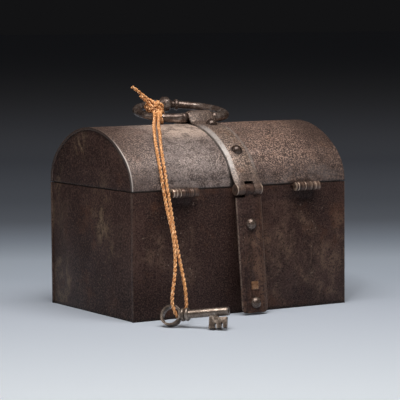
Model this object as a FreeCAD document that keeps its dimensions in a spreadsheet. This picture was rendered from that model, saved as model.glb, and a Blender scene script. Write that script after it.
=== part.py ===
import FreeCAD, Part
import math
import os

# Iron casket: sheet box, domed lid with a strap, ring handle, hinges, lock, key on a twine loop.
# The origin is the middle of the base. +X runs along the length, the hinge face looks to -Y, +Z is up.

V = FreeCAD.Vector
X_AXIS = V(1, 0, 0)

SIZES = [
    # sheet box and lid
    ("length", 190.0),
    ("depth", 130.0),
    ("body_height", 95.5),
    ("sheet", 2.0),
    ("end_inset", 0.6),
    ("seam_gap", 0.5),
    ("lid_rise", 45.0),
    ("side_radius", 32.0),
    ("seat_clear", 0.05),
    # strap over the lid and its hanging leaf
    ("strap_place", 2.0),
    ("strap_width", 22.5),
    ("strap_thick", 2.6),
    ("strap_bevel", 3.6),
    ("strap_edge", 1.2),
    ("strap_front_gap", 1.5),
    ("hump_slope", 58.0),
    ("hump_foot_radius", 5.0),
    ("leaf_reach", 93.0),
    ("leaf_corner", 4.0),
    ("leaf_lean", 5.9),
    ("leaf_inset", 0.5),
    ("leaf_shoulder", 6.0),
    ("stud_width", 6.0),
    ("stud_thick", 4.0),
    # hinge line
    ("hinge_proud", 5.0),
    ("hinge_drop", 1.5),
    ("centre_pin_radius", 1.5),
    ("pin_clear", 0.05),
    ("knuckle_gap", 0.45),
    ("swing_clear", 0.4),
    ("slot_clear", 2.2),
    ("left_hinge_inset", 41.5),
    ("right_hinge_inset", 39.0),
    ("small_width", 22.0),
    ("small_knuckle", 3.4),
    ("small_pin_radius", 1.5),
    ("hinge_plate", 1.2),
    ("hinge_plate_height", 14.0),
    # rivets
    ("dome_radius", 4.5),
    ("dome_height", 3.6),
    ("shank_radius", 1.8),
    ("shank_clear", 0.03),
    ("small_shank_radius", 1.2),
    ("small_head_radius", 2.2),
    ("small_head_height", 0.8),
    ("near_rivet_angle", 13.0),
    ("far_rivet_angle", 41.5),
    ("leaf_rivet_top", 26.3),
    ("leaf_rivet_low", 85.5),
    ("leaf_peen_place", 72.5),
    ("peen_width", 6.0),
    ("peen_height", 0.9),
    # ring handle
    ("handle_height", 4.5),
    ("handle_tilt", 8.2),
    ("ring_left_width", 39.0),
    ("ring_right_width", 31.5),
    ("ring_straight", 15.5),
    ("ring_reach", 58.0),
    ("sleeve_radius", 3.1),
    ("arm_radius", 3.8),
    ("ring_bar_radius", 3.1),
    ("grip_radius", 3.2),
    ("bead_radius", 4.1),
    ("bead_width", 4.4),
    ("bead_gap", 0.5),
    ("knob_radius", 6.3),
    ("knob_half", 5.8),
    ("collar_radius", 4.5),
    ("collar_width", 3.6),
    ("collar_place", 9.6),
    ("knob_shift", 2.8),
    # lock inside the front panel
    ("lock_place", 4.0),
    ("lock_drop", 24.5),
    ("lock_plate_width", 52.0),
    ("lock_plate_height", 40.0),
    ("lock_plate_thick", 1.5),
    ("keyhole_radius", 3.5),
    ("keyhole_slot", 3.4),
    ("keyhole_drop", 13.8),
    ("post_radius", 1.35),
    ("post_length", 11.0),
    ("bolt_length", 54.0),
    ("bolt_thick", 2.6),
    ("bolt_height", 6.6),
    ("bolt_rise", 13.5),
    ("bolt_depth", 5.2),
    ("bolt_clear", 0.2),
    ("talon_width", 7.0),
    ("talon_depth", 2.6),
    ("talon_place", 7.0),
    ("guide_width", 8.0),
    ("guide_place", 18.0),
    ("guide_wall", 2.4),
    ("spring_thick", 0.8),
    ("spring_foot", 4.0),
    ("catch_gap", 2.0),
    ("catch_width", 5.0),
    ("catch_wall", 2.2),
    ("catch_plate_width", 16.0),
    ("catch_plate_thick", 2.0),
    ("catch_plate_height", 13.0),
    # key
    ("bow_radius", 8.0),
    ("bow_thick", 1.6),
    ("bow_width", 4.6),
    ("key_shank_radius", 3.1),
    ("key_bore_radius", 1.5),
    ("key_bore_depth", 20.0),
    ("key_reach", 44.0),
    ("key_collar_radius", 4.9),
    ("key_collar_width", 3.0),
    ("bit_length", 13.5),
    ("bit_thick", 2.6),
    ("bit_drop", 12.6),
    ("ward_width", 1.5),
    ("ward_depth", 3.6),
    # twine
    ("cord_radius", 1.4),
    ("knot_width", 8.5),
    ("knot_height", 5.6),
    ("wrap_angle", 60.0),
    ("cord_clear", 0.3),
]

doc = FreeCAD.newDocument("iron_casket")
sheet = doc.addObject("Spreadsheet::Sheet", "sizes")
for row, (alias, value) in enumerate(SIZES, start=1):
    sheet.set("A%d" % row, alias)
    sheet.set("B%d" % row, str(value))
    sheet.setAlias("B%d" % row, alias)
doc.recompute()

pieces = []


def size(alias):
    """A driving dimension as a plain number."""
    return float(sheet.get(alias))


def keep(piece, label):
    """Names a document object as a finished sub-part."""
    piece.Label = label
    pieces.append(piece)
    return piece


def feature(label, shape, placement=None):
    """A sub-part whose shape is worked out from the sheet."""
    piece = doc.addObject("Part::Feature", label)
    piece.Shape = shape
    if placement:
        piece.Placement = placement
    return keep(piece, label)


def bind(piece, **expressions):
    """Ties properties to the sheet; place_x, place_y and place_z set the position."""
    for name, expression in expressions.items():
        target = name
        if name.startswith("place_"):
            target = "Placement.Base." + name[-1]
        piece.setExpression(target, expression)
    return piece


def block(name, x, y, z, along_x, along_y, along_z):
    """A box with its low corner at x, y, z, all of it bound to the sheet."""
    piece = doc.addObject("Part::Box", name)
    return bind(piece, place_x=x, place_y=y, place_z=z, Length=along_x, Width=along_y, Height=along_z)


def rod(name, x, y, z, radius, length, direction):
    """A cylinder from x, y, z along a direction, bound to the sheet."""
    piece = doc.addObject("Part::Cylinder", name)
    piece.Placement = FreeCAD.Placement(V(), FreeCAD.Rotation(V(0, 0, 1), direction))
    return bind(piece, place_x=x, place_y=y, place_z=z, Radius=radius, Height=length)


def joined(name, parts):
    piece = doc.addObject("Part::MultiFuse", name)
    piece.Shapes = parts
    return piece


def cut(name, base, tools):
    piece = doc.addObject("Part::Cut", name)
    piece.Base = base
    piece.Tool = tools[0] if len(tools) == 1 else joined(name + "_tools", tools)
    return piece


# Places that many pieces share
half_length = size("length") / 2
half_depth = size("depth") / 2
seam = size("body_height") + size("seam_gap")
crown_top = seam + size("lid_rise")
hinge_y = -half_depth - size("hinge_proud")
hinge_z = size("body_height") - size("hinge_drop")
bore_radius = size("centre_pin_radius") + size("pin_clear")
knuckle_radius = bore_radius + size("strap_thick")
handle_z = crown_top + size("handle_height")
lock_z = size("body_height") - size("lock_drop")

# Dome of the lid: side arcs that stand upright at the seam, and a crown arc tangent to both
side_y = half_depth - size("side_radius")
rise_left = size("lid_rise") - size("side_radius")
crown_drop = (side_y ** 2 - rise_left ** 2) / (2 * rise_left)
crown_radius = size("lid_rise") + crown_drop
crown_z = seam - crown_drop
shoulder = math.atan2(side_y, crown_drop)

HINGE_Y = "(-sizes.depth / 2 - sizes.hinge_proud)"
HINGE_Z = "(sizes.body_height - sizes.hinge_drop)"
INNER_FRONT = "(sizes.depth / 2 - sizes.sheet)"
HINGE_X = {"left": "(sizes.left_hinge_inset - sizes.length / 2)",
           "right": "(sizes.length / 2 - sizes.right_hinge_inset)"}


def polar(centre_y, centre_z, radius, angle):
    """A point of the YZ plane, with the angle from upright and positive towards +Y."""
    return V(0, centre_y + radius * math.sin(angle), centre_z + radius * math.cos(angle))


def arc(centre_y, centre_z, radius, start, end):
    middle = (start + end) / 2
    points = [polar(centre_y, centre_z, radius, angle) for angle in (start, middle, end)]
    return Part.Arc(*points).toShape()


def line(start, end):
    return Part.LineSegment(start, end).toShape()


def dome_face(offset, low):
    """The outline of the dome, moved inwards by offset and closed at the height low."""
    quarter = math.pi / 2
    side = size("side_radius") - offset
    edges = [
        arc(-side_y, seam, side, -quarter, -shoulder),
        arc(0, crown_z, crown_radius - offset, -shoulder, shoulder),
        arc(side_y, seam, side, shoulder, quarter),
    ]
    near = V(0, -side_y - side, low)
    far = V(0, side_y + side, low)
    if low < seam:
        edges.insert(0, line(near, V(0, near.y, seam)))
        edges.append(line(V(0, far.y, seam), far))
    edges.append(line(far, near))
    return Part.Face(Part.Wire(edges))


def on_crown(angle, x):
    """A frame on the lid's crown, with its own +Z square to the lid."""
    place = polar(0, crown_z, crown_radius, angle)
    return FreeCAD.Placement(V(x, place.y, place.z), FreeCAD.Rotation(X_AXIS, -math.degrees(angle)))


def turned(points, arcs=()):
    """A solid turned about Z from an outline in XZ; arcs maps a point number to a point its arc passes."""
    edges = []
    for number, start in enumerate(points):
        end = points[(number + 1) % len(points)]
        through = dict(arcs).get(number)
        if through:
            edges.append(Part.Arc(start, through, end).toShape())
        else:
            edges.append(line(start, end))
    solid = Part.Face(Part.Wire(edges)).revolve(V(), V(0, 0, 1), 360)
    if solid.Volume < 0:
        solid.reverse()
    return solid


def headed_rivet(head, height, shank, grip):
    """A rivet with a round head on z = 0; its shank goes down through the grip and ends flush."""
    ball = (head ** 2 + height ** 2) / (2 * height)
    middle = math.asin(head / ball) / 2
    waist = V(ball * math.sin(middle), 0, height - ball + ball * math.cos(middle))
    outline = [V(0, 0, -grip), V(shank, 0, -grip), V(shank, 0, 0), V(head, 0, 0), V(0, 0, height)]
    return turned(outline, {3: waist})


def dome_rivet(grip):
    return headed_rivet(size("dome_radius"), size("dome_height"), size("shank_radius"), grip)


def flat_rivet(grip):
    return headed_rivet(size("small_head_radius"), size("small_head_height"), size("small_shank_radius"), grip)


def shank_hole(radius, grip):
    margin = size("sheet")
    return Part.makeCylinder(radius + size("shank_clear"), grip + 2 * margin, V(0, 0, -grip - margin))


def placed(shape, placement):
    moved = shape.copy()
    moved.Placement = placement.multiply(moved.Placement)
    return moved


def group(label, shape, placements):
    """Identical fasteners as one node of separate solids."""
    return feature(label, Part.makeCompound([placed(shape, place) for place in placements]))


# Hinge plates and their rivets
HINGES = {"left": size("left_hinge_inset") - half_length, "right": half_length - size("right_hinge_inset")}
third = size("small_width") / 3
plate_y = -half_depth + size("sheet")
inward = FreeCAD.Rotation(X_AXIS, -90)
outward = FreeCAD.Rotation(X_AXIS, 90)
tongue_low = hinge_z - size("hinge_plate")
notch_low = tongue_low - size("pin_clear")
lid_tongue = hinge_z + size("swing_clear")
body_rivet_z = tongue_low - size("hinge_plate_height") * 0.6
lid_plate_low = seam + size("swing_clear")
side_inner = size("side_radius") - size("sheet")
lid_plate_top = lid_plate_low + size("hinge_plate_height") * 0.7
lid_plate_y = -side_y - math.sqrt(side_inner ** 2 - (lid_plate_top - seam) ** 2) + size("seat_clear")
lid_rivet_z = (lid_plate_low + lid_plate_top) / 2
lid_rivet_wall = -side_y - math.sqrt(size("side_radius") ** 2 - (lid_rivet_z - seam) ** 2)


def rivet_pair(x, z, y, rotation):
    spread = size("small_width") * 0.3
    return [FreeCAD.Placement(V(x + step, y, z), rotation) for step in (-spread, spread)]


body_rivet_places = []
lid_rivet_places = []
for centre in HINGES.values():
    body_rivet_places += rivet_pair(centre, body_rivet_z, plate_y + size("hinge_plate"), inward)
    lid_rivet_places += rivet_pair(centre, lid_rivet_z, lid_plate_y + size("hinge_plate"), inward)


def small_knuckle(x_low, x_high):
    """One knuckle of a small hinge, with its running bore."""
    width = x_high - x_low
    outer = Part.makeCylinder(size("small_knuckle"), width, V(x_low, hinge_y, hinge_z), X_AXIS)
    bore = size("small_pin_radius") + size("pin_clear")
    return outer.cut(Part.makeCylinder(bore, width, V(x_low, hinge_y, hinge_z), X_AXIS))


def slab(x_low, x_high, y_low, y_high, z_low, z_high):
    return Part.makeBox(x_high - x_low, y_high - y_low, z_high - z_low, V(x_low, y_low, z_low))


def with_holes(shape, radius, grip, placements):
    """Drills a rivet's hole at each placement."""
    return shape.cut([placed(shank_hole(radius, grip), place) for place in placements])


def outside_bore(shape, x_low, x_high):
    bore = size("small_pin_radius") + size("pin_clear")
    return shape.cut(Part.makeCylinder(bore, x_high - x_low, V(x_low, hinge_y, hinge_z), X_AXIS))


def body_leaf(side, x):
    low = x - third / 2 + size("knuckle_gap") / 2
    high = x + third / 2 - size("knuckle_gap") / 2
    back = plate_y + size("hinge_plate")
    tongue = outside_bore(slab(low, high, hinge_y, back, tongue_low, hinge_z), low, high)
    half = size("small_width") / 2
    plate = slab(x - half, x + half, plate_y, back, tongue_low - size("hinge_plate_height"), hinge_z)
    leaf = small_knuckle(low, high).fuse([tongue, plate])
    leaf = with_holes(leaf, size("small_shank_radius"), size("hinge_plate"), body_rivet_places)
    return feature(side + "_hinge_body_leaf", leaf.removeSplitter())


def lid_leaf(side, x):
    half = size("small_width") / 2
    front = lid_plate_y + size("hinge_plate")
    top = lid_tongue + size("hinge_plate")
    plate = slab(x - half, x + half, lid_plate_y, front, lid_tongue, lid_plate_top)
    leaf = plate
    for low in (x - half, x + third / 2 + size("knuckle_gap") / 2):
        high = low + third - size("knuckle_gap") / 2
        tongue = outside_bore(slab(low, high, hinge_y, front, lid_tongue, top), low, high)
        leaf = leaf.fuse([small_knuckle(low, high), tongue])
    leaf = with_holes(leaf, size("small_shank_radius"), size("hinge_plate"), lid_rivet_places)
    return feature(side + "_hinge_lid_leaf", leaf.removeSplitter())


# Sheet box
block("bottom", "-sizes.length / 2 + sizes.sheet + sizes.end_inset", "-sizes.depth / 2 + sizes.sheet", "0",
      "sizes.length - 2 * sizes.sheet - 2 * sizes.end_inset", "sizes.depth - 2 * sizes.sheet", "sizes.sheet")
keep(doc.getObject("bottom"), "bottom_plate")
for name, x in (("left", "-sizes.length / 2 + sizes.end_inset"),
                ("right", "sizes.length / 2 - sizes.sheet - sizes.end_inset")):
    end = block(name + "_end", x, "-sizes.depth / 2 + sizes.sheet", "0",
                "sizes.sheet", "sizes.depth - 2 * sizes.sheet", "sizes.body_height")
    keep(end, name + "_end_panel")

back_sheet = block("back_sheet", "-sizes.length / 2", "-sizes.depth / 2", "0",
                   "sizes.length", "sizes.sheet", "sizes.body_height")
back_tools = []
NOTCH_LOW = "(%s - sizes.hinge_plate - sizes.pin_clear)" % HINGE_Z
for name in HINGES:
    centre = HINGE_X[name]
    notch = block(name + "_notch", centre + " - sizes.small_width / 2 - sizes.swing_clear",
                  "-sizes.depth / 2 - sizes.sheet", NOTCH_LOW,
                  "sizes.small_width + 2 * sizes.swing_clear", "3 * sizes.sheet", "sizes.body_height")
    back_tools.append(notch)
    for step in (-1, 1):
        hole = rod("%s_leaf_hole_%d" % (name, step + 1), "%s + %d * 0.3 * sizes.small_width" % (centre, step),
                   "-sizes.depth / 2 - sizes.sheet",
                   "%s - sizes.hinge_plate - 0.6 * sizes.hinge_plate_height" % HINGE_Z,
                   "sizes.small_shank_radius + sizes.shank_clear", "3 * sizes.sheet", V(0, 1, 0))
        back_tools.append(hole)
keep(cut("back_cut", back_sheet, back_tools), "back_panel")

# Small hinges, their rivets and pins
for side, centre in HINGES.items():
    body_leaf(side, centre)
    lid_leaf(side, centre)
    pin = rod(side + "_pin", HINGE_X[side] + " - sizes.small_width / 2", HINGE_Y, HINGE_Z,
              "sizes.small_pin_radius", "sizes.small_width", X_AXIS)
    keep(pin, side + "_hinge_pin")
body_grip = size("hinge_plate") + size("sheet")
group("body_leaf_rivets", flat_rivet(body_grip), body_rivet_places)
lid_grip = lid_plate_y + size("hinge_plate") - lid_rivet_wall
group("lid_leaf_rivets", flat_rivet(lid_grip), lid_rivet_places)

# Lock: keyhole, plate, guides, bolt, spring and post
LOCK_X = "sizes.lock_place"
LOCK_Z = "(sizes.body_height - sizes.lock_drop)"
BOLT_Y = "(%s - sizes.lock_plate_thick - sizes.bolt_depth)" % INNER_FRONT
BOLT_Z = "(sizes.body_height - sizes.lock_drop + sizes.bolt_rise)"


def keyhole(name):
    """The cutter for the keyhole: a round head with a slot below it."""
    head = rod(name + "_head", LOCK_X, "sizes.depth / 2 - 10 * sizes.sheet", LOCK_Z,
               "sizes.keyhole_radius", "20 * sizes.sheet", V(0, 1, 0))
    slot = block(name + "_slot", LOCK_X + " - sizes.keyhole_slot / 2", "sizes.depth / 2 - 10 * sizes.sheet",
                 LOCK_Z + " - sizes.keyhole_drop", "sizes.keyhole_slot", "20 * sizes.sheet", "sizes.keyhole_drop")
    return [head, slot]


def lock_holes(name):
    """Cutters for the rivets at the plate's corners."""
    holes = []
    for across in (-1, 1):
        for up in (-1, 1):
            x = "%s + %d * 0.4 * sizes.lock_plate_width" % (LOCK_X, across)
            z = "%s + %d * 0.4 * sizes.lock_plate_height" % (LOCK_Z, up)
            hole = rod("%s_%d_%d" % (name, across + 1, up + 1), x, "sizes.depth / 2 - 5 * sizes.sheet", z,
                       "sizes.small_shank_radius + sizes.shank_clear", "10 * sizes.sheet", V(0, 1, 0))
            holes.append(hole)
    return holes


front_sheet = block("front_sheet", "-sizes.length / 2", "sizes.depth / 2 - sizes.sheet", "0",
                    "sizes.length", "sizes.sheet", "sizes.body_height")
keep(cut("front_cut", front_sheet, keyhole("front_key") + lock_holes("front_hole")), "front_panel")
plate = block("plate", LOCK_X + " - sizes.lock_plate_width / 2", INNER_FRONT + " - sizes.lock_plate_thick",
              LOCK_Z + " - sizes.lock_plate_height / 2", "sizes.lock_plate_width", "sizes.lock_plate_thick",
              "sizes.lock_plate_height")
post_hole_free = keyhole("plate_key")
keep(cut("plate_cut", plate, post_hole_free + lock_holes("plate_hole")), "lock_plate")

# The key post stands on a bridge across the keyhole's inner end
post = rod("post", LOCK_X, INNER_FRONT + " - sizes.lock_plate_thick - sizes.post_length", LOCK_Z,
           "sizes.post_radius", "sizes.post_length - sizes.guide_wall", V(0, 1, 0))
bridge = block("bridge", LOCK_X + " - sizes.keyhole_radius - sizes.guide_wall",
               INNER_FRONT + " - sizes.lock_plate_thick - sizes.post_length - sizes.guide_wall",
               LOCK_Z + " - sizes.post_radius - sizes.guide_wall / 2",
               "2 * sizes.keyhole_radius + 2 * sizes.guide_wall", "sizes.guide_wall",
               "2 * sizes.post_radius + sizes.guide_wall")
legs = []
for name, x in (("low", LOCK_X + " - sizes.keyhole_radius - sizes.guide_wall"),
                ("high", LOCK_X + " + sizes.keyhole_radius")):
    leg = block("bridge_" + name, x, INNER_FRONT + " - sizes.lock_plate_thick - sizes.post_length",
                LOCK_Z + " - sizes.post_radius - sizes.guide_wall / 2",
                "sizes.guide_wall", "sizes.post_length", "2 * sizes.post_radius + sizes.guide_wall")
    legs.append(leg)
keep(joined("post_whole", [post, bridge] + legs), "key_post")

BOLT_LOW_X = "(%s - sizes.bolt_length / 2)" % LOCK_X
bolt_bar = block("bolt_bar", BOLT_LOW_X, BOLT_Y, BOLT_Z, "sizes.bolt_length", "sizes.bolt_thick",
                 "sizes.bolt_height")
talons = []
for step in (-1, 1):
    talon = block("talon_%d" % (step + 1), "%s + %d * sizes.talon_place - sizes.talon_width / 2" % (LOCK_X, step),
                  BOLT_Y + " - sizes.bolt_thick", BOLT_Z + " - sizes.talon_depth",
                  "sizes.talon_width", "3 * sizes.bolt_thick", "2 * sizes.talon_depth")
    talons.append(talon)
keep(cut("bolt_cut", bolt_bar, talons), "lock_bolt")

guides = []
for step in (-1, 1):
    x = "%s + %d * sizes.guide_place - sizes.guide_width / 2" % (LOCK_X, step)
    staple = block("staple_%d" % (step + 1), x, BOLT_Y + " - sizes.guide_wall", BOLT_Z + " - sizes.guide_wall",
                   "sizes.guide_width", "sizes.bolt_depth + sizes.guide_wall",
                   "sizes.bolt_height + 2 * sizes.guide_wall")
    way = block("way_%d" % (step + 1), x + " - sizes.guide_width", BOLT_Y + " - sizes.bolt_clear",
                BOLT_Z + " - sizes.bolt_clear", "3 * sizes.guide_width", "sizes.bolt_thick + 2 * sizes.bolt_clear",
                "sizes.bolt_height + 2 * sizes.bolt_clear")
    guides.append(cut("guide_%d" % (step + 1), staple, [way]))
guide_pair = doc.addObject("Part::Compound", "guide_pair")
guide_pair.Links = guides
keep(guide_pair, "bolt_guides")

SPRING_Z = "(%s + sizes.bolt_height + sizes.bolt_clear)" % BOLT_Z
SPRING_RUN = "(2 * sizes.guide_place - sizes.guide_width - 2 * sizes.swing_clear)"
SPRING_X = "(%s - sizes.guide_place + sizes.guide_width / 2 + sizes.swing_clear)" % LOCK_X
strip = block("spring_strip", SPRING_X, BOLT_Y, SPRING_Z, SPRING_RUN, "sizes.bolt_depth", "sizes.spring_thick")
foot = block("spring_foot_block", SPRING_X, BOLT_Y + " + sizes.bolt_thick + sizes.bolt_clear",
             SPRING_Z, "sizes.spring_foot", "sizes.bolt_depth - sizes.bolt_thick - sizes.bolt_clear",
             "2 * sizes.spring_thick")
keep(joined("spring_whole", [strip, foot]), "bolt_spring")

lock_rivet_places = []
for across in (-0.4, 0.4):
    for up in (-0.4, 0.4):
        place = V(size("lock_place") + across * size("lock_plate_width"), half_depth,
                  lock_z + up * size("lock_plate_height"))
        lock_rivet_places.append(FreeCAD.Placement(place, inward))
group("lock_rivets", flat_rivet(size("sheet") + size("lock_plate_thick")), lock_rivet_places)

# Lid: shell, end plates and the catch for the bolt
strap_x = size("strap_place")
strap_rivet_angles = [math.radians(size(name) * way)
                      for name in ("near_rivet_angle", "far_rivet_angle") for way in (-1, 1)]
strap_top = FreeCAD.Placement(V(0, 0, size("strap_thick") + size("seat_clear")), FreeCAD.Rotation())
strap_rivet_places = [on_crown(angle, strap_x).multiply(strap_top) for angle in strap_rivet_angles]
strap_grip = size("strap_thick") + size("seat_clear") + size("sheet")
catch_wall_y = side_y + math.sqrt(side_inner ** 2 - (size("catch_plate_height") + size("swing_clear")) ** 2)
catch_out = catch_wall_y - size("seat_clear")
catch_in = catch_out - size("catch_plate_thick")
bolt_nose = size("lock_place") + size("bolt_length") / 2
catch_x = bolt_nose + size("catch_gap")
catch_mid = catch_x + size("catch_width") / 2
bolt_y = half_depth - size("sheet") - size("lock_plate_thick") - size("bolt_depth")
bolt_z = lock_z + size("bolt_rise")
catch_low = seam + size("swing_clear")
catch_rivet_z = catch_low + size("catch_plate_height") * 0.55
catch_rivet_wall = side_y + math.sqrt(size("side_radius") ** 2 - (catch_rivet_z - seam) ** 2)
catch_rivet_places = [
    FreeCAD.Placement(V(catch_mid + step * size("catch_plate_width"), catch_in, catch_rivet_z), outward)
    for step in (-0.3, 0.3)]

shell = dome_face(0, seam).cut(dome_face(size("sheet"), seam - size("sheet")))
shell = shell.extrude(V(size("length"), 0, 0))
shell.translate(V(-half_length, 0, 0))
shell = with_holes(shell, size("shank_radius"), strap_grip, strap_rivet_places)
shell = with_holes(shell, size("small_shank_radius"), lid_grip, lid_rivet_places)
catch_grip = catch_rivet_wall - catch_in
shell = with_holes(shell, size("small_shank_radius"), catch_grip, catch_rivet_places)
feature("lid_shell", shell)

for side, x in (("left", -half_length + size("end_inset")),
                ("right", half_length - size("end_inset") - size("sheet"))):
    end = dome_face(size("sheet") + size("seat_clear"), seam).extrude(V(size("sheet"), 0, 0))
    end.translate(V(x, 0, 0))
    feature("lid_%s_end" % side, end)

catch_plate = slab(catch_mid - size("catch_plate_width") / 2, catch_mid + size("catch_plate_width") / 2,
                   catch_in, catch_out, catch_low, catch_low + size("catch_plate_height"))
wall = size("catch_wall")
clear = size("bolt_clear")
lug_y = bolt_y - clear - wall
lug = slab(catch_x, catch_x + size("catch_width"), lug_y, catch_out,
           bolt_z - clear - wall, catch_low + size("catch_plate_height") * 0.3)
eye = slab(catch_mid - size("catch_plate_width"), catch_mid + size("catch_plate_width"), bolt_y - clear,
           bolt_y + size("bolt_thick") + clear, bolt_z - clear, bolt_z + size("bolt_height") + clear)
catch = lug.fuse(catch_plate).cut(eye)
catch = with_holes(catch, size("small_shank_radius"), catch_grip, catch_rivet_places)
feature("lid_catch", catch.removeSplitter())
group("lid_catch_rivets", flat_rivet(catch_grip), catch_rivet_places)

# Strap over the lid: one bevelled section along arcs and straights, with a hump for the handle
sleeve = size("sleeve_radius") + size("pin_clear")
slope = math.radians(size("hump_slope"))
foot_radius = size("hump_foot_radius")
lid_side = size("side_radius") + size("seat_clear")
lid_crown = crown_radius + size("seat_clear")


def hump_foot():
    """The centre of the foot arc that joins the hump's flank to the crown, on the +Y side."""
    reach = sleeve + foot_radius
    rise = handle_z - crown_z
    normal_y = math.sin(slope)
    normal_z = math.cos(slope)
    along_z = rise + reach / normal_z
    ratio = normal_y / normal_z
    first = 1 + ratio ** 2
    second = -2 * along_z * ratio
    third_term = along_z ** 2 - (lid_crown + foot_radius) ** 2
    y = (-second - math.sqrt(second ** 2 - 4 * first * third_term)) / (2 * first)
    return y, crown_z + along_z - ratio * y


def strap_path():
    """The line of the strap's underside, from the barrel over the crown to the front edge."""
    across = size("hinge_proud") + size("side_radius")
    down = -(size("hinge_drop") + size("seam_gap"))
    leave = math.atan2(down, across) + math.acos((lid_side - bore_radius) / math.hypot(across, down))
    leave_angle = -(math.pi / 2 - leave)
    barrel_point = polar(hinge_y, hinge_z, bore_radius, leave_angle)
    leave_point = polar(-side_y, seam, lid_side, leave_angle)
    foot_y, foot_z = hump_foot()
    foot_angle = math.atan2(foot_y, foot_z - crown_z)
    flank_angle = math.pi / 2 - slope
    flank = math.pi / 2 - flank_angle
    top_end = polar(0, handle_z, sleeve, flank)
    foot_start = polar(foot_y, foot_z, foot_radius, flank - math.pi)
    front_angle = math.pi / 2 - math.asin(size("strap_front_gap") / lid_side)

    def mirrored(point):
        return V(0, -point.y, point.z)

    return [
        line(barrel_point, leave_point),
        arc(-side_y, seam, lid_side, leave_angle, -shoulder),
        arc(0, crown_z, lid_crown, -shoulder, -foot_angle),
        arc(-foot_y, foot_z, foot_radius, math.pi - foot_angle, math.pi - flank),
        line(mirrored(foot_start), mirrored(top_end)),
        arc(0, handle_z, sleeve, -flank, flank),
        line(top_end, foot_start),
        arc(foot_y, foot_z, foot_radius, flank - math.pi, foot_angle - math.pi),
        arc(0, crown_z, lid_crown, foot_angle, shoulder),
        arc(side_y, seam, lid_side, shoulder, front_angle),
    ]


def band_section(start, heading):
    """The strap's bevelled section, square to its path."""
    outward_way = X_AXIS.cross(heading)
    half = size("strap_width") / 2
    flat = half - size("strap_bevel")
    corners = [(-half, 0), (half, 0), (half, size("strap_edge")), (flat, size("strap_thick")),
               (-flat, size("strap_thick")), (-half, size("strap_edge"))]
    points = [start + X_AXIS * across + outward_way * up for across, up in corners]
    return Part.makePolygon(points + points[:1])


path_edges = strap_path()
spine = Part.Wire(path_edges)
first_run = path_edges[0]
start_point = first_run.Vertexes[0].Point
heading = (first_run.Vertexes[1].Point - start_point).normalize()
sweep = Part.BRepOffsetAPI.MakePipeShell(spine)
sweep.setBiNormalMode(X_AXIS)
sweep.add(band_section(start_point, heading))
sweep.build()
sweep.makeSolid()
band = sweep.shape()
band.translate(V(strap_x, 0, 0))

half_strap = size("strap_width") / 2
knuckle_third = size("strap_width") / 3


def barrel(x_low, x_high, radius):
    return Part.makeCylinder(radius, x_high - x_low, V(strap_x + x_low, hinge_y, hinge_z), X_AXIS)


slot_half = knuckle_third / 2 + size("knuckle_gap") / 2
strap = band.fuse(barrel(-half_strap, half_strap, knuckle_radius))
strap = strap.cut(barrel(-half_strap, half_strap, bore_radius))
strap = strap.cut(barrel(-slot_half, slot_half, knuckle_radius + size("slot_clear")))
strap = with_holes(strap, size("shank_radius"), strap_grip, strap_rivet_places)
feature("lid_strap", strap.removeSplitter())
group("lid_strap_rivets", dome_rivet(strap_grip), strap_rivet_places)
centre_pin = rod("centre_pin", "sizes.strap_place - sizes.strap_width / 2", HINGE_Y, HINGE_Z,
                 "sizes.centre_pin_radius", "sizes.strap_width", X_AXIS)
keep(centre_pin, "centre_hinge_pin")

# Hanging leaf: it leans out from the centre pin, because the stud on its back rests on the wall
leaf_top = -size("leaf_shoulder")
leaf_in = size("leaf_inset")
leaf_low = -size("leaf_reach")
tongue_half = knuckle_third / 2 - size("knuckle_gap") / 2
leaf_out = size("strap_thick") - leaf_in
flat_half = half_strap - size("strap_bevel")
leaf_edge = size("strap_edge") - leaf_in
leaf_section = Part.makePolygon([
    V(-half_strap, leaf_in, leaf_top), V(half_strap, leaf_in, leaf_top),
    V(half_strap, -leaf_edge, leaf_top), V(flat_half, -leaf_out, leaf_top), V(-flat_half, -leaf_out, leaf_top),
    V(-half_strap, -leaf_edge, leaf_top), V(-half_strap, leaf_in, leaf_top)])
leaf_plate = Part.Face(leaf_section).extrude(V(0, 0, leaf_low - leaf_top))
outline = slab(-half_strap, half_strap, -2 * leaf_out, leaf_out, leaf_low, 0)
low_corners = [edge for edge in outline.Edges
               if abs(edge.BoundBox.ZMax - leaf_low) < 1e-6 and edge.BoundBox.YLength > leaf_out]
leaf_plate = leaf_plate.common(outline.makeFillet(size("leaf_corner"), low_corners))
leaf_tongue = slab(-tongue_half, tongue_half, -leaf_out, leaf_in, leaf_top, 0)
leaf_ring = Part.makeCylinder(knuckle_radius, 2 * tongue_half, V(-tongue_half, 0, 0), X_AXIS)
leaf_bore = Part.makeCylinder(bore_radius, 2 * tongue_half, V(-tongue_half, 0, 0), X_AXIS)
leaf = leaf_plate.fuse([leaf_tongue, leaf_ring]).cut(leaf_bore)
leaf_rivet_frames = [FreeCAD.Placement(V(0, -leaf_out, -size(name)), outward)
                     for name in ("leaf_rivet_top", "leaf_rivet_low")]
stud_frame = FreeCAD.Placement(V(0, -leaf_out, -size("leaf_peen_place")), outward)
leaf = with_holes(leaf, size("shank_radius"), size("strap_thick"), leaf_rivet_frames + [stud_frame])
leaf = leaf.removeSplitter()
leaf_domes = Part.makeCompound([placed(dome_rivet(size("strap_thick")), frame) for frame in leaf_rivet_frames])
hang = FreeCAD.Placement(V(strap_x, hinge_y, hinge_z), FreeCAD.Rotation(X_AXIS, -size("leaf_lean")))

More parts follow.
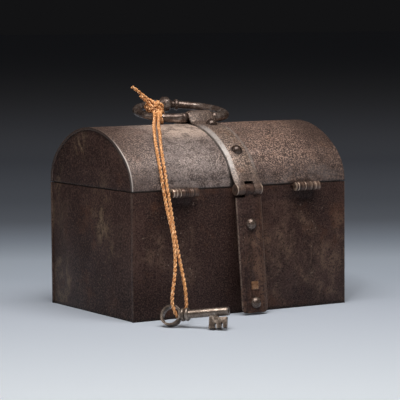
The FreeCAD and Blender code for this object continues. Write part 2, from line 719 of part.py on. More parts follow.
# The stud: a peened square outside, a shank through the leaf, and a flat bar that reaches the wall
peen_half = size("peen_width") / 2
peen_head = slab(-peen_half, peen_half, -peen_half, peen_half, 0, size("peen_height"))
upper_edges = [edge for edge in peen_head.Edges if edge.BoundBox.ZMin > size("peen_height") / 2]
peen_head = peen_head.makeChamfer(size("peen_height") * 0.6, upper_edges)
stud_back = hang.multVec(V(0, leaf_in, -size("leaf_peen_place")))
lean = math.radians(size("leaf_lean"))
upper_lift = size("stud_thick") / 2 * math.sin(lean)
stud_length = (-half_depth - size("seat_clear") - stud_back.y - upper_lift) / math.cos(lean)
grip = size("strap_thick")
shank = Part.makeCylinder(size("shank_radius"), grip, V(0, 0, -grip))
bar = slab(-size("stud_width") / 2, size("stud_width") / 2, -size("stud_thick") / 2, size("stud_thick") / 2,
           -grip - stud_length, -grip)
stud = placed(peen_head.fuse([shank, bar]).removeSplitter(), stud_frame)
for label, shape in (("hanging_leaf", leaf), ("leaf_rivets", leaf_domes), ("leaf_stud", stud)):
    feature(label, placed(shape, hang))

# Ring handle, drawn flat with its pivot along X, then tipped up
def flat_point(centre_u, centre_v, radius, angle):
    """A point of the ring's plane, with the angle from +Y and positive towards +X."""
    return V(centre_u + radius * math.sin(angle), centre_v + radius * math.cos(angle), 0)


def ring_length(centre_u, centre_v, radius, start, end, thick_start, thick_end):
    """A round bar along an arc of the ring, from one thickness to another."""
    angles = (start, (start + end) / 2, end)
    points = [flat_point(centre_u, centre_v, radius, angle) for angle in angles]
    bar = Part.BRepOffsetAPI.MakePipeShell(Part.Wire([Part.Arc(*points).toShape()]))
    for angle, thick in ((start, thick_start), (end, thick_end)):
        tangent = V(math.cos(angle), -math.sin(angle), 0)
        circle = Part.Circle(flat_point(centre_u, centre_v, radius, angle), tangent, thick)
        bar.add(Part.Wire([circle.toShape()]))
    bar.build()
    bar.makeSolid()
    return bar.shape()


def bead(radius, width):
    """A rounded collar about Z, with its middle at z = 0."""
    half = width / 2
    core = size("ring_bar_radius") / 2
    outline = [V(core, 0, -half), V(radius * 0.8, 0, -half), V(radius * 0.8, 0, half), V(core, 0, half)]
    return turned(outline, {1: V(radius, 0, 0)})


def near_arm(half_width, extra):
    """The start of a side arc, from the straight bar to the arc's middle."""
    straight = size("ring_straight")
    radius = half_width - straight
    far_rise = size("ring_reach") - 2 * radius
    far_angle = math.atan2(straight, (straight ** 2 - far_rise ** 2) / (2 * far_rise))
    side = (math.pi + far_angle) / 2
    return ring_length(straight, radius, radius, math.pi, side,
                       size("arm_radius") + extra, size("ring_bar_radius") + extra)


def half_ring(half_width, shift):
    """One half of the ring, towards +X; the knob and its collars stand a shift off the middle."""
    straight = size("ring_straight")
    radius = half_width - straight
    far_rise = size("ring_reach") - 2 * radius
    far_drop = (straight ** 2 - far_rise ** 2) / (2 * far_rise)
    far_radius = size("ring_reach") - radius + far_drop
    far_v = radius - far_drop
    far_angle = math.atan2(straight, far_drop)
    side = (math.pi + far_angle) / 2
    thin = size("ring_bar_radius")
    grip = size("grip_radius")

    def on_grip(shape, place):
        angle = place / far_radius
        lay = FreeCAD.Rotation(V(0, 0, 1), -math.degrees(angle)).multiply(FreeCAD.Rotation(V(0, 1, 0), 90))
        return placed(shape, FreeCAD.Placement(flat_point(0, far_v, far_radius, angle), lay))

    bead_middle = half_strap + size("bead_gap") + size("bead_width") / 2
    lay_bead = FreeCAD.Placement(V(bead_middle, 0, 0), FreeCAD.Rotation(V(0, 1, 0), 90))
    knob = size("knob_radius")
    half = size("knob_half")
    core = size("ring_bar_radius") / 2
    bells = turned([V(core, 0, -half), V(grip, 0, -half), V(knob, 0, -half * 0.3), V(knob, 0, half * 0.3),
                    V(grip, 0, half), V(core, 0, half)])
    parts = [
        ring_length(straight, radius, radius, side, far_angle, thin, thin),
        ring_length(0, far_v, far_radius, far_angle, 0, thin, grip),
        placed(bead(size("bead_radius"), size("bead_width")), lay_bead),
        on_grip(bead(size("collar_radius"), size("collar_width")), size("collar_place") + shift),
        Part.makeCylinder(size("sleeve_radius"), straight, V(), X_AXIS),
    ]
    if shift > 0:
        parts.append(on_grip(bells, shift))
    return near_arm(half_width, 0).fuse(parts)


def ring_shape():
    """The whole ring, a little wider to the left of its hump than to the right."""
    left = half_ring(size("ring_left_width"), -size("knob_shift")).mirror(V(), X_AXIS)
    return half_ring(size("ring_right_width"), size("knob_shift")).fuse(left).removeSplitter()


tip = FreeCAD.Placement(V(strap_x, 0, handle_z), FreeCAD.Rotation(X_AXIS, size("handle_tilt")))
feature("handle_ring", placed(ring_shape(), tip))

# Twine: a knot on the ring's near left arm, a tail, two strands over the lid and a loop through the key
cord = size("cord_radius")
KNOT_CENTRE = V(-31.0, 12.0, 154.3)
TAIL = [V(-37.5, 12.0, 157.0), V(-42.0, 11.6, 161.6), V(-46.0, 11.4, 164.6), V(-50.6, 12.0, 170.4)]
UPPER_LEFT = [
    V(-34.0, 7.0, 151.3), V(-38.0, -1.0, 145.6), V(-43.5, -9.0, 143.2), V(-50.0, -20.0, 141.2),
    V(-56.6, -32.2, 137.2), V(-62.4, -43.4, 131.6), V(-66.6, -53.0, 124.6), V(-69.2, -60.6, 116.0),
    V(-70.4, -65.8, 106.6), V(-70.6, -68.2, 99.0), V(-70.6, -70.0, 94.0)]
UPPER_RIGHT = [
    V(-30.4, 6.3, 151.9), V(-34.4, -1.5, 146.3), V(-40.2, -10.0, 143.3), V(-46.6, -21.0, 141.1),
    V(-52.4, -33.2, 136.8), V(-58.6, -44.4, 131.0), V(-63.0, -53.8, 123.8), V(-65.8, -61.2, 115.2),
    V(-67.0, -66.0, 106.0), V(-67.2, -68.2, 99.0), V(-67.2, -70.0, 94.0)]
LOWER_LOOP = [
    V(-70.6, -70.05, 93.8), V(-70.9, -74.2, 82.5), V(-71.4, -81.4, 70.5), V(-72.0, -86.2, 59.0),
    V(-73.6, -90.2, 47.5), V(-76.4, -94.0, 36.5), V(-80.2, -97.4, 26.6), V(-82.3, -99.2, 18.0),
    V(-80.6, -100.6, 10.6), V(-77.4, -100.2, 6.2), V(-72.4, -99.3, 6.0), V(-69.4, -98.8, 11.0),
    V(-69.2, -97.0, 25.4), V(-69.3, -93.6, 36.0), V(-69.2, -88.6, 47.5), V(-68.6, -83.4, 59.0),
    V(-68.2, -78.6, 70.5), V(-67.5, -74.0, 82.5), V(-67.2, -70.05, 93.8)]
BEND_SHARE = 0.45


def cord_path(points, label):
    """Straight runs joined by the largest tangent arcs that the runs allow."""
    edges = []
    radii = []
    last = points[0]
    for before, corner, after in zip(points, points[1:], points[2:]):
        way_in = (corner - before).normalize()
        way_out = (after - corner).normalize()
        trim = BEND_SHARE * min((corner - before).Length, (after - corner).Length)
        half_turn = way_in.getAngle(way_out) / 2
        start = corner - way_in * trim
        end = corner + way_out * trim
        radius = trim / math.tan(half_turn)
        bisector = (way_out - way_in).normalize()
        middle = corner + bisector * (radius / math.cos(half_turn) - radius)
        edges.append(line(last, start))
        edges.append(Part.Arc(start, middle, end).toShape())
        radii.append(radius)
        last = end
    edges.append(line(last, points[-1]))
    print("%s bend radii %s" % (label, ", ".join("%.1f" % radius for radius in radii)))
    return Part.Wire(edges)


def tube(points, label):
    path = cord_path(points, label)
    start = (points[1] - points[0]).normalize()
    ring = Part.Wire([Part.Circle(points[0], start, cord).toShape()])
    solid = path.makePipeShell([ring], True, False)
    share = solid.Volume / (math.pi * cord ** 2 * path.Length)
    print("%s length %.1f, volume share %.4f" % (label, path.Length, share))
    return solid


wrap = math.radians(180 - size("wrap_angle"))
wrap_side = size("ring_left_width") - size("ring_straight")
wrap_point = flat_point(-size("ring_straight"), wrap_side, wrap_side, -wrap)
wrap_way = V(math.cos(wrap), math.sin(wrap), 0)
wrap_radius = size("arm_radius") + cord + size("cord_clear")
wrap_ring = placed(Part.makeTorus(wrap_radius, cord, wrap_point, wrap_way), tip)
KNOT_OUTLINE = [(0.0, -1.0), (0.62, -0.86), (0.93, -0.46), (1.0, 0.0), (0.93, 0.46), (0.62, 0.86), (0.0, 1.0)]
knot_outline = [V(across * size("knot_height"), 0, along * size("knot_width")) for across, along in KNOT_OUTLINE]
lump = placed(turned(knot_outline), FreeCAD.Placement(V(), FreeCAD.Rotation(V(0, 1, 0), 90)))
lump.translate(KNOT_CENTRE)
arm_room = placed(near_arm(size("ring_left_width"), size("cord_clear")).mirror(V(), X_AXIS), tip)
knot = wrap_ring.fuse(lump).cut(arm_room).cut(placed(ring_shape(), tip))
knot_solid = max(knot.Solids, key=lambda solid: solid.Volume)
print("knot solids %s" % ", ".join("%.0f" % solid.Volume for solid in knot.Solids))
feature("cord_knot", knot_solid)
feature("cord_tail", tube(TAIL, "cord_tail").cut(knot_solid))
feature("cord_upper_left", tube(UPPER_LEFT, "cord_upper_left"))
feature("cord_upper_right", tube(UPPER_RIGHT, "cord_upper_right"))
feature("cord_lower_loop", tube(LOWER_LOOP, "cord_lower_loop"))

# Key: drawn along +X with its bit down, then laid on the ground
KEY_PLACE = V(-81.7, -97.7, 8.25)
KEY_HEADING = -51.0
KEY_PITCH = 6.9
KEY_ROLL = -28.0
bow = size("bow_radius")
bow_outline = [V(bow - size("bow_thick"), 0, -size("bow_width") / 2), V(bow, 0, -size("bow_width") / 2),
               V(bow, 0, size("bow_width") / 2), V(bow - size("bow_thick"), 0, size("bow_width") / 2)]
bow_ring = placed(turned(bow_outline), FreeCAD.Placement(V(), FreeCAD.Rotation(X_AXIS, 90)))
shank_start = bow - size("bow_thick") / 2
shank = Part.makeCylinder(size("key_shank_radius"), size("key_reach") - shank_start, V(shank_start, 0, 0), X_AXIS)
key = shank.cut(Part.makeCylinder(size("key_bore_radius"), size("key_bore_depth"),
                                  V(size("key_reach") - size("key_bore_depth"), 0, 0), X_AXIS))
for step in (0.35, 1.45):
    place = V(bow + step * size("key_collar_width"), 0, 0)
    collar = placed(bead(size("key_collar_radius"), size("key_collar_width")),
                    FreeCAD.Placement(place, FreeCAD.Rotation(V(0, 1, 0), 90)))
    key = key.fuse(collar)
key = key.cut(Part.makeCylinder(bow - size("bow_thick") / 2, 2 * bow, V(0, -bow, 0), V(0, 1, 0)))
key = key.fuse(bow_ring)
bit_end = size("key_reach") - size("ward_width") / 2
half_bit = size("bit_thick") / 2
bit_top = -size("key_bore_radius") - size("ward_width") / 2
bit = slab(bit_end - size("bit_length"), bit_end, -half_bit, half_bit, -size("bit_drop"), bit_top)
for share in (0.25, 0.62):
    middle = bit_end - share * size("bit_length")
    bit = bit.cut(slab(middle - size("ward_width") / 2, middle + size("ward_width") / 2, -bow, bow,
                       -size("bit_drop"), -size("bit_drop") + size("ward_depth")))
ward_top = -size("key_shank_radius") - size("ward_width")
bit = bit.cut(slab(bit_end - size("bit_length") * 0.5, bit_end, -bow, bow, ward_top, ward_top + size("ward_width")))
key = key.fuse(bit)
lay_key = FreeCAD.Rotation(V(0, 0, 1), KEY_HEADING).multiply(FreeCAD.Rotation(V(0, 1, 0), -KEY_PITCH))
lay_key = lay_key.multiply(FreeCAD.Rotation(X_AXIS, KEY_ROLL))
feature("casket_key", placed(key.removeSplitter(), FreeCAD.Placement(KEY_PLACE, lay_key)))

# Every object must be sound before any file is written
doc.recompute()
for item in doc.Objects:
    if "Invalid" in item.State or "Error" in item.State:
        raise RuntimeError("failed object " + item.Label)
for piece in pieces:
    if piece.Shape.isNull() or not piece.Shape.isValid():
        raise RuntimeError("unsound shape " + piece.Label)
os.makedirs("parts", exist_ok=True)
for piece in pieces:
    piece.Shape.exportStep("parts/%s.step" % piece.Label)
print("%d sub-parts" % len(pieces))
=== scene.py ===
import bpy
import bmesh
import math
from mathutils import Matrix, Vector


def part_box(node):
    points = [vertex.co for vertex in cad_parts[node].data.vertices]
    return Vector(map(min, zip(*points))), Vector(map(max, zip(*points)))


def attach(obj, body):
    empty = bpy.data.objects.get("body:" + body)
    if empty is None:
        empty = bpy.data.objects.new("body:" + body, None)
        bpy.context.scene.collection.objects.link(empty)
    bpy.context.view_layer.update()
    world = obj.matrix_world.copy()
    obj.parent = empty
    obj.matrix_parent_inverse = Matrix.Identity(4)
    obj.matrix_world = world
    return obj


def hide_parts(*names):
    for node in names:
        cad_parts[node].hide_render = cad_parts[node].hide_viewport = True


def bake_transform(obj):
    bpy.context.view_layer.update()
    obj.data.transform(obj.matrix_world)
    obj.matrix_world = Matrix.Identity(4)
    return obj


# The iron casket: pitted sheet, forged fittings, a ring handle and a key on a loop of twine.
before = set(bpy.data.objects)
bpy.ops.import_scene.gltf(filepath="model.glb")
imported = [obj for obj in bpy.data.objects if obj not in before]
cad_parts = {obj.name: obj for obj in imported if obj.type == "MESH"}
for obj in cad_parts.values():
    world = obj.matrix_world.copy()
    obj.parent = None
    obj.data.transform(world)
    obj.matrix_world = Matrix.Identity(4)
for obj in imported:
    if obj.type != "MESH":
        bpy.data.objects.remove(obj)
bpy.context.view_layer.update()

MM = 0.001
SCENE = bpy.context.scene

# Camera, fitted to the photograph: eye in metres, the turn of the view in degrees, lens and sensor in
# millimetres, and how far it sees in metres
EYE = Vector((-0.8088, -1.3330, 0.2182))
VIEW_AZIMUTH = -31.33
VIEW_ELEVATION = 5.03
VIEW_ROLL = -0.42
LENS = 180.0
SENSOR = 36.0
SIGHT = 50.0

# The strap, in metres: its middle, its half-width, the width of each bevel, and the half-width of the flat
# between the bevels
STRAP_LEFT, STRAP_RIGHT = (corner[0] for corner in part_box("lid_strap"))
STRAP_MIDDLE = (STRAP_LEFT + STRAP_RIGHT) / 2
STRAP_HALF = (STRAP_RIGHT - STRAP_LEFT) / 2
STRAP_BEVEL_WIDTH = 0.0036
STRAP_FLAT = STRAP_HALF - STRAP_BEVEL_WIDTH

# The lid and the box, in metres: the lid's top, the line where it meets the box, its rim at either end, where
# the left one has a painted highlight, and the upright edges of the box
LID_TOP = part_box("lid_shell")[1][2]
LID_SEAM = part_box("lid_left_end")[0][2]
LID_RIM_INSET = 0.0005
LID_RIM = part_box("lid_shell")[1][0] - LID_RIM_INSET
LONG_SIDE_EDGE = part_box("back_panel")[1][0]
END_SIDE_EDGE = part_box("left_end_panel")[1][1]

# The height from which the lid's outside is told from its inside, and the blur between the two, in metres
LID_MIDDLE_HEIGHT = 0.09
FACING_BLUR = 0.002

# Heights over which a finish changes, from none to all of it, in metres
LID_SMOOTH = (LID_TOP - 0.015, LID_SEAM + 0.004)
LID_CROWN = (LID_TOP - 0.012, LID_TOP - 0.003)
LID_ENDS = (LID_SEAM + 0.012, LID_TOP - 0.011)
LEAF_LOW = (0.055, 0.028)
STRAP_WEAR = (LID_SEAM + 0.003, LID_SEAM + 0.020)
STRAP_HUMP = (LID_TOP - 0.0035, LID_TOP + 0.0015)
STRAP_KNUCKLE = (LID_SEAM + 0.005, LID_SEAM - 0.001)
BOX_FOOT = (0.0030, 0.0012)

# The same along and across the lid, and the reach of the painted shade off its seam, with how far left of the
# middle the worn grey patch with its painted sheen lies
PATCH_LEFT = 0.034
PATCH_REACH = (0.068, 0.012)
CROWN_HIGHLIGHT_LEFT = (-0.062, -0.040)
LID_END_SHADE = (0.060, 0.092)
RIM_NEAR_SIDE = (-0.030, -0.048)
SEAM_SHADE_REACH = (0.0011, 0.0003)

# Colours of rust and wear, and of painted shade and painted highlights
# Painted shade in the gaps: beside the strap, along the lid's seam and at the end sheets' joints
GAP_SHADE = (0.008, 0.005, 0.004)
# Painted shade along the box's foot and the lid's seam
FOOT_SHADE = (0.006, 0.004, 0.003)
LID_RUST = (0.150, 0.066, 0.036)
LID_GREY = (0.150, 0.124, 0.117)
# Worn grey that also stands in for a painted sheen
LID_WORN_GREY_AND_SHEEN = (0.195, 0.158, 0.150)
# Painted highlight along the crown, left of the strap
LID_CROWN_HIGHLIGHT = (0.58, 0.450, 0.375)
LID_BLOTCH = (0.030, 0.016, 0.013)
LID_GRAIN = (0.50, 0.344, 0.275)
LID_PATCH_GRAIN = (0.58, 0.480, 0.438)
LID_PIT = (0.010, 0.005, 0.004)
LID_DARK_ENDS = (0.036, 0.020, 0.016)
# Painted highlight: a thin bright line on the left rim's near side
LID_RIM_HIGHLIGHT = (0.50, 0.455, 0.43)
LID_END_FACE = (0.052, 0.033, 0.026)
SHEET_STREAK = (0.020, 0.011, 0.0095)
SHEET_RUST = (0.110, 0.044, 0.022)
SHEET_GRAIN = (0.140, 0.088, 0.069)
SHEET_PIT = (0.009, 0.0045, 0.0038)
SHEET_FLECK = (0.26, 0.205, 0.165)
LEAF_SMEAR = (0.190, 0.108, 0.072)
LEAF_RUST = (0.150, 0.078, 0.046)
LEAF_LINE = (0.012, 0.007, 0.006)
LEAF_EDGE = (0.26, 0.200, 0.165)
STRAP_RUST = (0.160, 0.072, 0.035)
STRAP_BLOTCH = (0.032, 0.018, 0.014)
STRAP_GRAIN = (0.56, 0.412, 0.330)
STRAP_PIT = (0.008, 0.004, 0.003)
# Worn bare metal on the bevels, with a painted highlight
STRAP_BEVEL_WEAR_AND_HIGHLIGHT = (0.40, 0.374, 0.364)
STRAP_HUMP_SHADE = (0.034, 0.021, 0.017)
KNUCKLE_RUST = (0.092, 0.052, 0.036)
KNUCKLE_RIM = (0.46, 0.365, 0.290)
FORGED_RUST = (0.135, 0.062, 0.032)
FORGED_PIT = (0.022, 0.015, 0.012)
# Painted highlight lines round the barrels
BARREL_HIGHLIGHT_LINE = (0.56, 0.440, 0.340)
BARREL_GROOVE = (0.016, 0.010, 0.008)
TWINE_TINT = (0.72, 0.36, 0.13)

# Edges sharper than this are rounded by wear; faces flatter than this to each other are made one
SHARP = math.radians(28)
FLAT = math.radians(0.5)
MERGE_DISTANCE = 1e-6
WEAR_SEGMENTS = 2

# Twine, in metres: its radius, its two plies and the length of one twist, the steps along and round it, and how
# far past the handle's bar the bend at the knot reaches
PLY_RADIUS = 0.00078
PLY_OFFSET = 0.00061
PLY_STEP = 0.0006
PLY_ROUNDNESS = 3
TWINE_LAY = 0.0072
TURN_STEPS = 40
ROUTE_STEPS = 10
SHORTEST_RUN = 1e-9
LAST_STEP_SHARE = 0.2


def place_camera():
    azimuth = math.radians(VIEW_AZIMUTH)
    elevation = math.radians(VIEW_ELEVATION)
    forward = Vector((-math.sin(azimuth) * math.cos(elevation),
                      math.cos(azimuth) * math.cos(elevation),
                      -math.sin(elevation)))
    right = forward.cross(Vector((0, 0, 1))).normalized()
    up = right.cross(forward)
    turn = Matrix.Rotation(-math.radians(VIEW_ROLL), 3, forward)
    right = turn @ right
    up = turn @ up
    view = Matrix((right, up, -forward)).transposed().to_4x4()
    view.translation = EYE
    data = bpy.data.cameras.new("photo_camera")
    data.lens = LENS
    data.sensor_width = SENSOR
    data.clip_end = SIGHT
    camera = bpy.data.objects.new("photo_camera", data)
    camera.matrix_world = view
    SCENE.collection.objects.link(camera)
    SCENE.camera = camera


# Lamps: name, place, width, height and watts, all turned to one point and of one warm colour
LAMPS = [
    ("top_soft_box", (-0.14, -0.42, 1.18), 1.1, 0.8, 19), ("key_lamp", (-0.75, -0.9, 1.2), 0.16, 0.16, 5),
    ("left_soft_box", (-1.4, 0.1, 0.7), 0.7, 0.7, 2.2), ("right_soft_box", (1.1, -1.5, 0.8), 0.9, 1.2, 1.0)]
LAMP_AIM = Vector((0, 0, 0.08))
LAMP_COLOUR = (1.0, 0.95, 0.90)


def area_lamp(name, at, width, height, watts):
    data = bpy.data.lights.new(name, "AREA")
    data.shape = "RECTANGLE"
    data.size = width
    data.size_y = height
    data.energy = watts
    data.color = LAMP_COLOUR
    lamp = bpy.data.objects.new(name, data)
    lamp.location = at
    lamp.rotation_euler = (LAMP_AIM - Vector(at)).to_track_quat("-Z", "Y").to_euler()
    SCENE.collection.objects.link(lamp)


class Finish:
    """A material with its principled shader, and short ways to add nodes to it."""

    def __init__(self, name, metallic=0.0, roughness=0.5, specular=0.5):
        self.material = bpy.data.materials.new(name)
        self.material.use_nodes = True
        self.tree = self.material.node_tree
        self.shader = self.tree.nodes["Principled BSDF"]
        self.shader.inputs["Metallic"].default_value = metallic
        self.shader.inputs["Roughness"].default_value = roughness
        self.shader.inputs["Specular IOR Level"].default_value = specular
        texture_coordinate = self.tree.nodes.new("ShaderNodeTexCoord")
        self.coordinates = texture_coordinate.outputs["Object"]
        self.normal = texture_coordinate.outputs["Normal"]

    def link(self, output, socket):
        self.tree.links.new(output, socket)

    def noise(self, scale, detail, rough, stretch=None, distortion=0.0):
        node = self.tree.nodes.new("ShaderNodeTexNoise")
        node.inputs["Scale"].default_value = scale
        node.inputs["Detail"].default_value = detail
        node.inputs["Roughness"].default_value = rough
        node.inputs["Distortion"].default_value = distortion
        vector = self.coordinates
        if stretch:
            mapping = self.tree.nodes.new("ShaderNodeMapping")
            mapping.inputs["Scale"].default_value = stretch
            self.link(vector, mapping.inputs["Vector"])
            vector = mapping.outputs["Vector"]
        self.link(vector, node.inputs["Vector"])
        return node.outputs["Fac"]

    def ramp(self, value, stops):
        node = self.tree.nodes.new("ShaderNodeValToRGB")
        ramp = node.color_ramp
        while len(ramp.elements) < len(stops):
            ramp.elements.new(0.5)
        for element, (place, colour) in zip(ramp.elements, stops):
            element.position = place
            element.color = (*colour, 1)
        self.link(value, node.inputs["Fac"])
        return node.outputs["Color"]

    def band(self, value, low, high, start=0.0, end=1.0):
        node = self.tree.nodes.new("ShaderNodeMapRange")
        node.interpolation_type = "SMOOTHSTEP"
        node.inputs["From Min"].default_value = low
        node.inputs["From Max"].default_value = high
        node.inputs["To Min"].default_value = start
        node.inputs["To Max"].default_value = end
        self.link(value, node.inputs["Value"])
        return node.outputs["Result"]

    def math(self, operation, first, second=0.0):
        node = self.tree.nodes.new("ShaderNodeMath")
        node.operation = operation
        for socket, value in zip(node.inputs, (first, second)):
            if isinstance(value, (int, float)):
                socket.default_value = value
            else:
                self.link(value, socket)
        return node.outputs["Value"]

    def mix(self, share, first, second, blend="MIX"):
        node = self.tree.nodes.new("ShaderNodeMix")
        node.data_type = "RGBA"
        node.blend_type = blend
        for name, value in (("Factor_Float", share), ("A_Color", first), ("B_Color", second)):
            socket = next(item for item in node.inputs if item.identifier == name)
            if isinstance(value, (int, float)):
                socket.default_value = value
            elif isinstance(value, tuple):
                socket.default_value = (*value, 1)
            else:
                self.link(value, socket)
        return next(item for item in node.outputs if item.identifier == "Result_Color")

    def axis(self, name):
        node = self.tree.nodes.new("ShaderNodeSeparateXYZ")
        self.link(self.coordinates, node.inputs[0])
        return node.outputs[name]

    def facing_out(self, centre):
        """1 on faces that look away from a point, 0 on those that look towards it."""
        from_centre = self.tree.nodes.new("ShaderNodeVectorMath")
        from_centre.operation = "SUBTRACT"
        from_centre.inputs[1].default_value = centre
        self.link(self.coordinates, from_centre.inputs[0])
        along = self.tree.nodes.new("ShaderNodeVectorMath")
        along.operation = "DOT_PRODUCT"
        self.link(from_centre.outputs["Vector"], along.inputs[0])
        self.link(self.normal, along.inputs[1])
        return self.band(along.outputs["Value"], -FACING_BLUR, FACING_BLUR)

    def bump(self, heights):
        """Chains bumps: each is a height output, its strength and its depth in metres."""
        last = None
        for height, strength, depth in heights:
            node = self.tree.nodes.new("ShaderNodeBump")
            node.inputs["Strength"].default_value = strength
            node.inputs["Distance"].default_value = depth
            self.link(height, node.inputs["Height"])
            if last:
                self.link(last, node.inputs["Normal"])
            last = node.outputs["Normal"]
        self.link(last, self.shader.inputs["Normal"])

    def colour(self, output):
        self.link(output, self.shader.inputs["Base Color"])

    def rough(self, output):
        self.link(output, self.shader.inputs["Roughness"])


def speckle(finish, base, scale, pale, pale_share, dark, dark_share):
    """Covers a base colour with fine pale grains and dark pits; gives the colour, the grain and the pits."""
    grain = finish.noise(scale, 5, 0.72)
    pits = finish.noise(scale * 0.8, 5, 0.75, distortion=0.3)
    base = finish.mix(finish.math("MULTIPLY", finish.band(pits, 0.49, 0.41), dark_share), base, dark)
    base = finish.mix(finish.math("MULTIPLY", finish.band(grain, 0.50, 0.57), pale_share), base, pale)
    return base, grain, pits


def lid_seam(finish):
    """Painted shade along the line where the lid meets the box."""
    off_seam = finish.math("ABSOLUTE", finish.math("SUBTRACT", finish.axis("Z"), LID_SEAM))
    return finish.band(off_seam, *SEAM_SHADE_REACH, 0.0, 0.85)


def pitted_lid_iron():
    """Red-brown sheet with a fine pale speckle, worn grey left of the strap with a painted sheen there, and
    smoother low down; a painted highlight along the crown and the left rim, and painted shade beside the strap
    and along the seam.
    """
    finish = Finish("pitted_lid_iron", metallic=0.2)
    along = finish.axis("X")
    height = finish.axis("Z")
    broad = finish.noise(24, 5, 0.6)
    base = finish.ramp(broad, [(0.30, (0.036, 0.019, 0.016)), (0.50, (0.064, 0.036, 0.031)),
                               (0.70, (0.106, 0.070, 0.061))])
    rust = finish.band(finish.noise(50, 6, 0.65, distortion=0.4), 0.50, 0.66)
    base = finish.mix(finish.math("MULTIPLY", rust, 0.6), base, LID_RUST)
    # The worn grey patch left of the strap, which also holds a painted sheen
    from_patch = finish.math("ABSOLUTE", finish.math("ADD", along, PATCH_LEFT))
    patch = finish.math("MULTIPLY", finish.band(from_patch, *PATCH_REACH),
                        finish.band(finish.noise(16, 5, 0.6), 0.36, 0.60, 0.55, 1.0))
    low = finish.band(height, *LID_SMOOTH)
    grey = finish.math("MULTIPLY", low, finish.band(finish.noise(30, 5, 0.6), 0.40, 0.60, 0.30, 0.85))
    base = finish.mix(grey, base, LID_GREY)
    base = finish.mix(finish.math("MULTIPLY", patch, 0.75), base, LID_WORN_GREY_AND_SHEEN)
    # Painted highlight along the crown, left of the strap
    crown_highlight = finish.math("MULTIPLY", finish.band(height, *LID_CROWN), finish.band(along, *CROWN_HIGHLIGHT_LEFT))
    crown_highlight = finish.math("MULTIPLY", crown_highlight, finish.band(along, STRAP_MIDDLE, STRAP_MIDDLE - STRAP_HALF))
    base = finish.mix(finish.math("MULTIPLY", crown_highlight, 0.85), base, LID_CROWN_HIGHLIGHT)
    blotch = finish.band(finish.noise(130, 5, 0.68, distortion=0.3), 0.51, 0.41, 0.0, 0.64)
    base = finish.mix(blotch, base, LID_BLOTCH)
    pale = finish.mix(patch, LID_GRAIN, LID_PATCH_GRAIN)
    patches = finish.band(finish.noise(18, 4, 0.6), 0.36, 0.62, 0.45, 1.0)
    pale_share = finish.math("MULTIPLY", patches, finish.band(low, 0.0, 1.0, 0.95, 0.55))
    pale_share = finish.math("MULTIPLY", pale_share, finish.band(patch, 0.0, 1.0, 1.0, 0.55))
    pit_share = finish.band(finish.math("MAXIMUM", patch, low), 0.0, 1.0, 0.95, 0.65)
    base, grain, pits = speckle(finish, base, 900, pale, pale_share, LID_PIT, pit_share)
    ends = finish.math("MULTIPLY", finish.band(finish.math("ABSOLUTE", along), *LID_END_SHADE),
                       finish.band(height, *LID_ENDS, 0.3, 0.7))
    base = finish.mix(ends, base, LID_DARK_ENDS)
    # Painted highlight: a thin bright line along the left rim, on its near side only
    rim_highlight = finish.band(along, 0.0009 - LID_RIM, 0.0002 - LID_RIM)
    near_side = finish.band(finish.axis("Y"), *RIM_NEAR_SIDE, 0.06, 0.75)
    base = finish.mix(finish.math("MULTIPLY", rim_highlight, near_side), base, LID_RIM_HIGHLIGHT)
    end_face = finish.band(finish.math("ABSOLUTE", along), LID_RIM + 0.0002, LID_RIM + 0.0004)
    base = finish.mix(finish.math("MULTIPLY", end_face, 0.9), base, LID_END_FACE)
    # Painted shadow: a dark band beside the strap on the lid's outside, joined with painted shade along the
    # lid's seam
    off_strap = finish.math("ABSOLUTE", finish.math("SUBTRACT", along, STRAP_MIDDLE))
    painted_shade = finish.band(off_strap, STRAP_HALF + 0.0016, STRAP_HALF + 0.0004, 0.0, 0.85)
    painted_shade = finish.math("MULTIPLY", painted_shade, finish.facing_out((STRAP_MIDDLE, 0.0, LID_MIDDLE_HEIGHT)))
    painted_shade = finish.math("MAXIMUM", painted_shade, lid_seam(finish))
    base = finish.mix(painted_shade, base, GAP_SHADE)
    finish.colour(base)
    finish.rough(finish.band(grain, 0.38, 0.62, 0.58, 0.42))
    finish.bump([(broad, 0.25, 0.0016), (grain, 0.5, 0.0004), (pits, 0.45, 0.0004)])
    return finish.material


def dark_sheet(finish, streak, smear, smear_share):
    """Dark brown sheet with worn smears, rust and faint upright streaks; gives the colour and the mottling."""
    broad = finish.noise(17, 6, 0.62, distortion=0.3)
    base = finish.ramp(broad, [(0.34, (0.0190, 0.0086, 0.0074)), (0.52, (0.0355, 0.0178, 0.0155)),
                               (0.68, (0.062, 0.0340, 0.0280))])
    streaks = finish.noise(110, 4, 0.6, stretch=streak)
    base = finish.mix(finish.band(streaks, 0.48, 0.70, 0.0, 0.6), base, SHEET_STREAK)
    rust = finish.band(finish.noise(40, 6, 0.7), 0.53, 0.68)
    base = finish.mix(finish.math("MULTIPLY", rust, 0.4), base, SHEET_RUST)
    place = finish.band(finish.noise(15, 3, 0.5), 0.48, 0.60)
    rubbed = finish.band(finish.noise(90, 7, 0.75, distortion=0.8, stretch=(1, 1, 0.7)), 0.44, 0.62)
    worn = finish.math("MULTIPLY", place, rubbed)
    base = finish.mix(finish.math("MULTIPLY", worn, smear_share), base, smear)
    return base, broad


